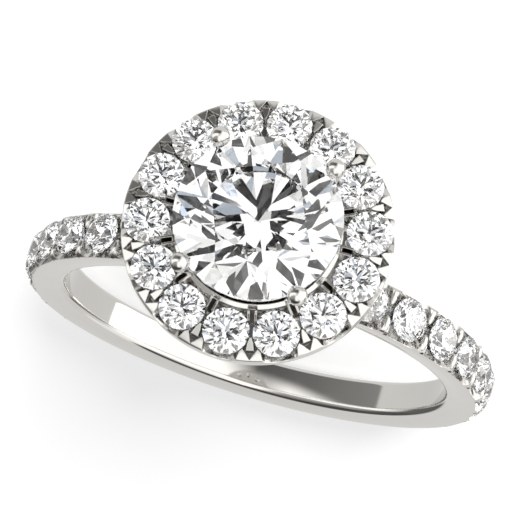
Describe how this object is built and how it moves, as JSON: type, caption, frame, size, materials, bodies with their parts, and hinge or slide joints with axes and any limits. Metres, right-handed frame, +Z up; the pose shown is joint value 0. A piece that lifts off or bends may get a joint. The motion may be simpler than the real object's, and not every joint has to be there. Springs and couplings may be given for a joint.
{
  "type": "halo ring",
  "caption": "Finger ring with a round brilliant in a four-claw basket, a round halo of brilliants and a pavé shank, lying on its side.",
  "frame": {"origin": "centre of the footprint of the whole ring, on the surface that it lies on", "axes": "+Z up from the surface; +Y from the head to the back of the shank; +X to the right when the head is seen from the front. The finger axis leans 9.5 degrees from +Z towards +Y."},
  "size_m": [0.0208, 0.0266, 0.0098],
  "materials": {
    "white_gold": "polished white gold, rhodium plated",
    "diamond": "faceted and polished, colourless"
  },
  "bodies": {
    "root": {"ring_mount": "white_gold", "centre_stone": "diamond", "halo_stone_1": "diamond", "halo_stone_2": "diamond", "halo_stone_3": "diamond", "halo_stone_4": "diamond", "halo_stone_5": "diamond", "halo_stone_6": "diamond", "halo_stone_7": "diamond", "halo_stone_8": "diamond", "halo_stone_9": "diamond", "halo_stone_10": "diamond", "halo_stone_11": "diamond", "halo_stone_12": "diamond", "halo_stone_13": "diamond", "halo_stone_14": "diamond", "shank_stone_left_1": "diamond", "shank_stone_left_2": "diamond", "shank_stone_left_3": "diamond", "shank_stone_left_4": "diamond", "shank_stone_left_5": "diamond", "shank_stone_left_6": "diamond", "shank_stone_left_7": "diamond", "shank_stone_left_8": "diamond", "shank_stone_left_9": "diamond", "shank_stone_right_1": "diamond", "shank_stone_right_2": "diamond", "shank_stone_right_3": "diamond", "shank_stone_right_4": "diamond", "shank_stone_right_5": "diamond", "shank_stone_right_6": "diamond", "shank_stone_right_7": "diamond", "shank_stone_right_8": "diamond", "shank_stone_right_9": "diamond"}
  },
  "joints": []
}
